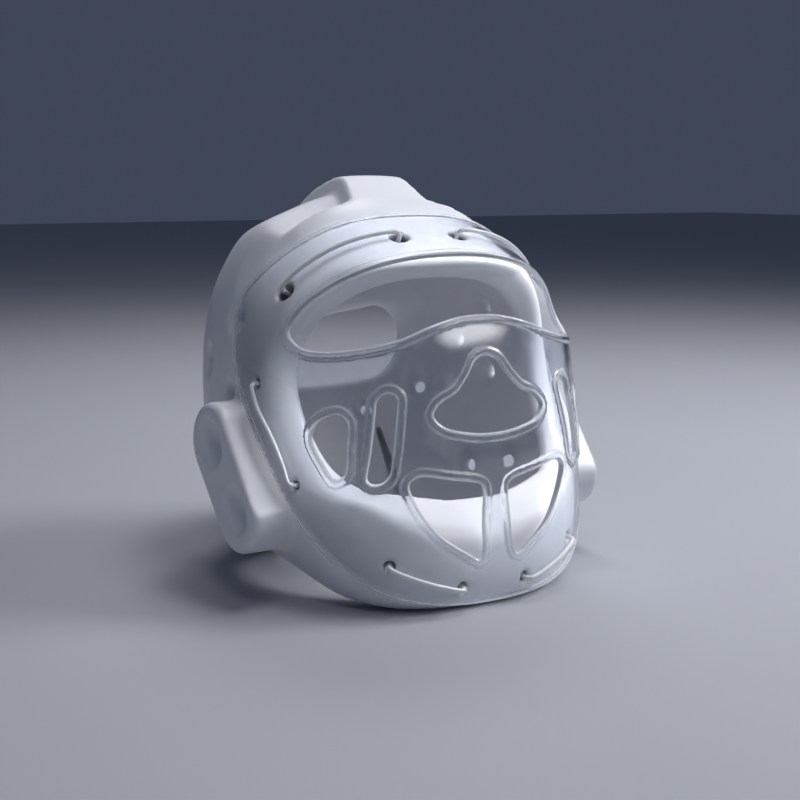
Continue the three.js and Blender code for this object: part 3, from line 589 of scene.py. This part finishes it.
def makeMask(material):
    # a grid along and round the sheet, its rows evenly spaced down the middle line, moved onto every edge and step,
    # then cut at the edges, lifted at the rims, and joined to its inside by a round nose
    rows = np.linspace(*mask["rows"], 4001)
    length = np.concatenate([[0], np.cumsum(np.linalg.norm(np.diff(maskPoint(0 * rows, rows), axis=0), axis=1))])
    rows = np.interp(np.arange(0, length[-1], mask["cell"]), length, rows)
    s, deg = np.meshgrid(np.arange(-mask["reach"], mask["reach"] + 0.01, mask["cell"]), rows, indexing="ij")
    middle = {name: mask[name][0] - mask[name][1] / 2 for name in ("rim", "border")}  # of each step
    moved = []
    for level in ("edge", "rim", "border"):  # grid lines follow the edges and the middle of each step
        p = maskPoint(s, deg)
        border, holes, small = maskEdges(p)
        border, holes = overSlope(border, p), overSlope(holes, p)
        value = {"edge": np.min([border, holes, small], 0), "rim": holes - middle["rim"],
                 "border": border - middle["border"]}[level]
        s, deg, fresh = snapped(s, deg, value, ~np.any(moved, 0) if moved else True)
        moved.append(fresh)
    edge = moved[0]
    p = maskPoint(s, deg)
    value = np.where(edge, 0, np.min(maskEdges(p), 0))
    keep = (value >= 0).ravel()
    number = np.arange(s.size).reshape(s.shape)
    quads = np.stack([number[:-1, :-1], number[1:, :-1], number[1:, 1:], number[:-1, 1:]], -1).reshape(-1, 4)
    onEdge = edge.ravel()[quads].all(1)
    outside = np.zeros(len(quads), bool)
    outside[onEdge] = np.min(maskEdges(p.reshape(-1, 3)[quads[onEdge]].mean(1)), 0) < 0
    whole = keep[quads].all(1) & ~outside
    three = keep[quads].sum(1) == 3
    lost = np.argmin(keep[quads[three]], 1)
    tris = np.stack([np.take_along_axis(quads[three], ((lost + k) % 4)[:, None], 1)[:, 0] for k in (1, 2, 3)], 1)
    quads = quads[whole]
    onLine = (moved[1] | moved[2]).ravel()[quads]
    turned = onLine[:, 1] & onLine[:, 3] & ~onLine[:, 0] & ~onLine[:, 2]
    tris = np.concatenate([tris, quads[turned][:, [1, 2, 3]], quads[turned][:, [3, 0, 1]]])
    quads = quads[~turned]
    used = np.unique(np.concatenate([quads.ravel(), tris.ravel()]))
    newNumber = np.full(s.size, -1)
    newNumber[used] = np.arange(len(used))
    quads, tris = newNumber[quads], newNumber[tris]
    n = len(used)
    at = p.reshape(-1, 3)[used]
    out = sheetNormal(s.ravel()[used], deg.ravel()[used])
    holeBand, holeLine, holeLean, holeWay, toHole = raisedBand(holeDistance, (0, 2), at, out, mask["rim"])
    borderBand, borderLine, borderLean, borderWay, toBorder = raisedBand(
        borderDistance, (1, 2), at, out, mask["border"])
    lean = np.where((holeBand > borderBand)[:, None], holeLean, borderLean)
    rise = np.maximum(holeBand, borderBand)[:, None]
    top = at + out * rise
    under = at - out * mask["wall"]
    # boundary: edges with one face only; its rim is a half circle from the outside to the inside
    ends = np.concatenate([quads[:, [k, (k + 1) % 4]] for k in range(4)]
                          + [tris[:, [k, (k + 1) % 3]] for k in range(3)])
    key, back = ends[:, 0] * n + ends[:, 1], ends[:, 1] * n + ends[:, 0]
    rimEdges = ends[~np.isin(key, back)]
    away = np.zeros((n, 3))
    across = np.cross(at[rimEdges[:, 1]] - at[rimEdges[:, 0]], out[rimEdges[:, 0]])
    for k in (0, 1):
        np.add.at(away, rimEdges[:, k], across)
    rimPoints = np.unique(rimEdges)
    rimNumber = np.full(n, -1)
    rimNumber[rimPoints] = np.arange(len(rimPoints))
    near = np.minimum(toHole, toBorder)[:, None] < 0.4  # the rest are lace holes, whose rim goes by its own edges
    away = np.where(near, -np.where((toHole < toBorder)[:, None], holeWay, borderWay), away)[rimPoints]
    away /= np.maximum(np.linalg.norm(away, axis=1, keepdims=True), 1e-9)
    turns = np.linspace(0, math.pi, 6)[1:-1]
    r = (mask["wall"] + rise[rimPoints]) / 2
    centre = at[rimPoints] + out[rimPoints] * (rise[rimPoints] - r)
    nose = [math.cos(a) * out[rimPoints] + math.sin(a) * away for a in turns]
    points = np.concatenate([top, under] + [centre + r * way for way in nose])
    normals = standing(np.concatenate([out + lean, -out] + nose)) - standing(np.zeros(3))
    normals /= np.linalg.norm(normals, axis=1, keepdims=True)
    nosePoints = 2 * n + np.arange(len(turns) * len(rimPoints)).reshape(len(turns), -1)
    starts = [rimPoints, *nosePoints, n + rimPoints]
    strips = []
    a, b = rimNumber[rimEdges[:, 0]], rimNumber[rimEdges[:, 1]]
    for low, high in zip(starts[:-1], starts[1:]):
        strips.append(np.stack([low[b], low[a], high[a], high[b]], 1))
    faces = [np.concatenate([quads, quads[:, ::-1] + n] + strips), np.concatenate([tris, tris[:, ::-1] + n])]
    report("face mask, %d faces" % sum(len(f) for f in faces))
    paintedHighlight = mask["paintedHighlight"]
    # painted highlight lines: in the middle of each raised band's step, on the cut edge and round the nose
    line = np.maximum(paintedHighlight["rim"] * holeLine, paintedHighlight["border"] * borderLine)
    line[rimPoints] = paintedHighlight["edge"]
    shades = np.concatenate([line, 0 * line, np.full(nosePoints.size, paintedHighlight["nose"])])
    return makeMesh("faceMask", standing(points), faces, material, shades, normals)


# Laces: a round cord carried over the mask from hole to hole
def makeLace(name, run, sign, material):
    # circle carried along a smooth path that rises out of one hole, lies on the mask and dives into the other
    (x0, d0), (x1, d1), sway = run
    share = np.linspace(0, 1, laces["stations"])
    x, deg = sign * (x0 + (x1 - x0) * share + sway * np.sin(math.pi * share)), d0 + (d1 - d0) * share
    on = ovoidPoint(profileRadius("mask", deg), ovoid["maskHalf"], x, deg)
    out = maskNormal(x, deg)
    path = on + out * laces["lift"]
    inward = (path[-1] - path[0]) / np.linalg.norm(path[-1] - path[0])
    into = lambda end, deep: on[end] - out[end] * laces[deep]
    turnIn = laces["turnIn"] * inward
    path = np.vstack([into(0, "sink"), into(0, "dive"), path[0] + turnIn, path[1:-1],
                      path[-1] - turnIn, into(-1, "dive"), into(-1, "sink")])
    line = smoothLine(path, False, laces["perSpan"])
    tangent = np.gradient(line, axis=0)
    tangent /= np.linalg.norm(tangent, axis=1, keepdims=True)
    flat = np.cross(inward, out.mean(0))
    flat /= np.linalg.norm(flat)
    side = flat - (tangent @ flat)[:, None] * tangent
    side /= np.linalg.norm(side, axis=1, keepdims=True)
    up = np.cross(tangent, side)
    sides = laces["sides"]
    a = np.arange(sides) * 2 * math.pi / sides
    ring = laces["radius"] * (np.cos(a)[None, :, None] * side[:, None] + np.sin(a)[None, :, None] * up[:, None])
    points = np.concatenate([(line[:, None] + ring).reshape(-1, 3), line[[0, -1]]])
    number = np.arange(len(line) * sides).reshape(len(line), sides)
    turned = np.roll(number, -1, 1)
    quads = np.stack([number[:-1], turned[:-1], turned[1:], number[1:]], -1).reshape(-1, 4)
    first, last = np.full(sides, number.size), np.full(sides, number.size + 1)
    caps = np.concatenate([np.stack([turned[0], number[0], first], 1), np.stack([number[-1], turned[-1], last], 1)])
    return makeMesh(name, standing(points), [quads, caps], material)


# Materials

def linear(code):
    # sRGB hex to linear
    c = np.array([int(code[k:k + 2], 16) for k in (1, 3, 5)]) / 255
    return tuple(np.where(c <= 0.04045, c / 12.92, ((c + 0.055) / 1.055) ** 2.4)) + (1,)


def node(tree, kind, settings=(), links=(), **values):
    # one node with its settings, socket values and incoming links
    made = tree.nodes.new(kind)
    for name, value in dict(settings).items():
        setattr(made, name, value)
    for name, value in values.items():
        made.inputs[name.replace("_", " ")].default_value = value
    for name, source in dict(links).items():
        tree.links.new(source, made.inputs[name])
    return made


def spots(mm):
    # noise scale on Object coordinates, which are metres, for spots of this size
    return 1000 / mm


def newMaterial(name):
    # material with an empty node tree
    material = bpy.data.materials.new(name)
    material.use_nodes = True
    tree = material.node_tree
    tree.nodes.clear()
    return material, tree


def dippedFoam():
    # PU foam dipped in white vinyl: a satin skin with slow dents from the dipping, 22 mm across, and a fine pebble,
    # here 0.77 mm across, which is coarser than the real one so that it shows
    material, tree = newMaterial("vinylDippedFoam")
    place = node(tree, "ShaderNodeTexCoord").outputs["Object"]
    slow = node(tree, "ShaderNodeTexNoise", links={"Vector": place}, Scale=spots(22.2), Detail=3.0)
    grain = node(tree, "ShaderNodeTexNoise", links={"Vector": place}, Scale=spots(0.77), Detail=2.0)
    tone = node(tree, "ShaderNodeMix", {"data_type": "RGBA"}, {0: slow.outputs["Fac"]})
    tone.inputs[6].default_value = linear("#e4e6ec")
    tone.inputs[7].default_value = linear("#eff0f3")
    # painted shade: the foam colour darkens towards the grey below by the shade attribute, deep in the lace pits
    pit = node(tree, "ShaderNodeAttribute", {"attribute_name": "shade"})
    pitShade = node(tree, "ShaderNodeMix", {"data_type": "RGBA"}, {0: pit.outputs["Fac"], 6: tone.outputs[2]})
    pitShade.inputs[7].default_value = linear("#4c4e54")  # painted shade down in the lace holes
    rough = node(tree, "ShaderNodeMapRange", links={"Value": slow.outputs["Fac"]}, To_Min=0.28, To_Max=0.38)
    dents = node(tree, "ShaderNodeBump", links={"Height": slow.outputs["Fac"]}, Strength=0.05, Distance=0.002)
    pebble = node(tree, "ShaderNodeBump", Strength=0.06, Distance=0.0003,
                  links={"Height": grain.outputs["Fac"], "Normal": dents.outputs["Normal"]})
    shader = node(tree, "ShaderNodeBsdfPrincipled", IOR=1.5, Subsurface_Weight=0.08,
                  Subsurface_Radius=(0.004, 0.004, 0.004),
                  links={"Base Color": pitShade.outputs[2], "Roughness": rough.outputs["Result"],
                         "Normal": pebble.outputs["Normal"]})
    node(tree, "ShaderNodeOutputMaterial", links={"Surface": shader.outputs["BSDF"]})
    return material


def clearPlastic():
    # polycarbonate, moulded and polished: clear and glossy, with a faint handling haze in patches of 26 mm
    material, tree = newMaterial("clearPolycarbonate")
    place = node(tree, "ShaderNodeTexCoord").outputs["Object"]
    haze = node(tree, "ShaderNodeTexNoise", links={"Vector": place}, Scale=spots(26.3), Detail=5.0, Roughness=0.6)
    patches = {"Value": haze.outputs["Fac"]}
    rough = node(tree, "ShaderNodeMapRange", links=patches, From_Min=0.35, From_Max=0.75, To_Min=0.015, To_Max=0.07)
    smear = node(tree, "ShaderNodeMapRange", links=patches, From_Min=0.52, From_Max=0.78, To_Min=0.0, To_Max=0.12)
    rim = node(tree, "ShaderNodeAttribute", {"attribute_name": "shade"})
    # painted highlight: rims, step middles and round edges are turned partly opaque white as bright lines
    clear = node(tree, "ShaderNodeMapRange", links={"Value": rim.outputs["Fac"]}, To_Min=1.0, To_Max=0.45)
    through = node(tree, "ShaderNodeMath", {"operation": "SUBTRACT", "use_clamp": True},
                   {0: clear.outputs["Result"], 1: smear.outputs["Result"]})
    shader = node(tree, "ShaderNodeBsdfPrincipled", Base_Color=linear("#f0f2f7"), IOR=1.52,
                  links={"Roughness": rough.outputs["Result"], "Transmission Weight": through.outputs[0]})
    node(tree, "ShaderNodeOutputMaterial", links={"Surface": shader.outputs["BSDF"]})
    return material


def laceCord():
    # elastic cord in a clear vinyl jacket: white core, glossy skin, with a braid of 1.1 mm just felt through it
    material, tree = newMaterial("glossyLaceCord")
    place = node(tree, "ShaderNodeTexCoord").outputs["Object"]
    weave = node(tree, "ShaderNodeTexNoise", links={"Vector": place}, Scale=spots(1.11), Detail=2.0)
    rough = node(tree, "ShaderNodeMapRange", links={"Value": weave.outputs["Fac"]}, To_Min=0.14, To_Max=0.26)
    bump = node(tree, "ShaderNodeBump", links={"Height": weave.outputs["Fac"]}, Strength=0.1, Distance=0.0003)
    shader = node(tree, "ShaderNodeBsdfPrincipled", Base_Color=linear("#f4f5f8"), IOR=1.5, Transmission_Weight=0.12,
                  links={"Roughness": rough.outputs["Result"], "Normal": bump.outputs["Normal"]})
    node(tree, "ShaderNodeOutputMaterial", links={"Surface": shader.outputs["BSDF"]})
    return material


def paleFloor():
    # matt painted board, with a faint cloud of a third of a metre
    material, tree = newMaterial("paleFloor")
    place = node(tree, "ShaderNodeTexCoord").outputs["Object"]
    cloud = node(tree, "ShaderNodeTexNoise", links={"Vector": place}, Scale=spots(333), Detail=2.0)
    tone = node(tree, "ShaderNodeMix", {"data_type": "RGBA"}, {0: cloud.outputs["Fac"]})
    tone.inputs[6].default_value = linear("#a8aab0")
    tone.inputs[7].default_value = linear("#aeb0b6")
    shader = node(tree, "ShaderNodeBsdfPrincipled", links={"Base Color": tone.outputs[2]}, Roughness=0.6)
    node(tree, "ShaderNodeOutputMaterial", links={"Surface": shader.outputs["BSDF"]})
    return material


# Pieces
foamShell = makeFoam(dippedFoam())
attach(foamShell, "root")
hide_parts("foam_shell")

faceMask = makeMask(clearPlastic())
faceMask.visible_shadow = False  # light passes the clear sheet
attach(faceMask, "root")
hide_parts("face_mask")

cordMaterial = laceCord()
for run in laces["runs"]:
    for sideName, sign in (("right", -1), ("left", 1)):
        lace = makeLace("lace_%s_%s_cord" % (run, sideName), laces["runs"][run], sign, cordMaterial)
        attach(lace, "root")
        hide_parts("lace_%s_%s" % (run, sideName))
report("laces")

# Stage
floor = {"reach": 6.0}  # metres each way
floorMesh = bpy.data.meshes.new("floor")
corners = [(u * floor["reach"], v * floor["reach"], 0) for u, v in ((-1, -1), (1, -1), (1, 1), (-1, 1))]
floorMesh.from_pydata(corners, [], [(0, 1, 2, 3)])
floorMesh.materials.append(paleFloor())
floorPiece = bpy.data.objects.new("floor", floorMesh)
bpy.context.scene.collection.objects.link(floorPiece)

world = bpy.data.worlds.new("studio")
bpy.context.scene.world = world
world.use_nodes = True
world.node_tree.nodes["Background"].inputs["Color"].default_value = linear("#7f8bab")
world.node_tree.nodes["Background"].inputs["Strength"].default_value = 0.24

softboxes = {
    # place in metres, what it looks at, width, height, watts, colour
    "key": ((1.1, -0.36, 0.95), (0, 0, 0.12), 0.8, 0.7, 31, "#fafbff"),
    "top": ((0.3, -0.15, 1.45), (0, 0, 0.16), 0.8, 0.55, 17, "#fafbff"),
    "bridge": ((0.56, -0.98, 0.68), (0, -0.1, 0.15), 0.75, 0.42, 6, "#ffffff"),
    "front": ((-0.35, -0.5, 1.4), (0, 0, 0.1), 0.6, 0.5, 4.5, "#fafbff"),
    "back": ((0.35, 0.75, 1.15), (0, 0, 0.2), 0.7, 0.5, 14, "#fafbff"),
}


def softEdge(light):
    # diffuser cloth, brightest in its middle and fading to its edges
    light.use_nodes = True
    tree = light.node_tree
    lamp = tree.nodes["Emission"]
    place = node(tree, "ShaderNodeNewGeometry").outputs["Parametric"]
    spot = node(tree, "ShaderNodeVectorMath", {"operation": "SUBTRACT"}, {0: place})
    spot.inputs[1].default_value = (0.5, 0.5, 0)
    off = node(tree, "ShaderNodeVectorMath", {"operation": "LENGTH"}, {0: spot.outputs[0]})
    fade = node(tree, "ShaderNodeMapRange", {"interpolation_type": "SMOOTHSTEP"}, {"Value": off.outputs["Value"]},
                From_Min=0.15, From_Max=0.55, To_Min=1.0, To_Max=0.0)
    tree.links.new(fade.outputs["Result"], lamp.inputs["Strength"])


for name, (place, target, wide, high, watts, colour) in softboxes.items():
    light = bpy.data.lights.new(name, "AREA")
    light.shape = "RECTANGLE"
    light.size, light.size_y = wide, high
    light.energy = watts
    light.color = linear(colour)[:3]
    softEdge(light)
    lamp = bpy.data.objects.new(name, light)
    lamp.location = place
    lamp.rotation_euler = (Vector(target) - Vector(place)).to_track_quat("-Z", "Y").to_euler()
    lamp.visible_transmission = name == "bridge"  # the sheet casts no shadow, so light through it counts once
    lamp.visible_glossy = name not in ("front", "back")
    lamp.visible_diffuse = name != "bridge"  # a mirror image on the nose of the mask only
    bpy.context.scene.collection.objects.link(lamp)

view = {"place": (-0.3777, -0.6571, 0.2228), "turn": 30.48, "down": 9.64, "lens": 58.5}
camera = bpy.data.cameras.new("photoView")
camera.lens = view["lens"]
camera.sensor_width = 36
cameraPiece = bpy.data.objects.new("photoView", camera)
turn, down = math.radians(view["turn"]), math.radians(view["down"])
look = Vector((math.sin(turn) * math.cos(down), math.cos(turn) * math.cos(down), -math.sin(down)))
cameraPiece.location = view["place"]
cameraPiece.rotation_euler = look.to_track_quat("-Z", "Y").to_euler()
bpy.context.scene.collection.objects.link(cameraPiece)
bpy.context.scene.camera = cameraPiece
bpy.context.scene.view_settings.view_transform = "Standard"
report("stage")
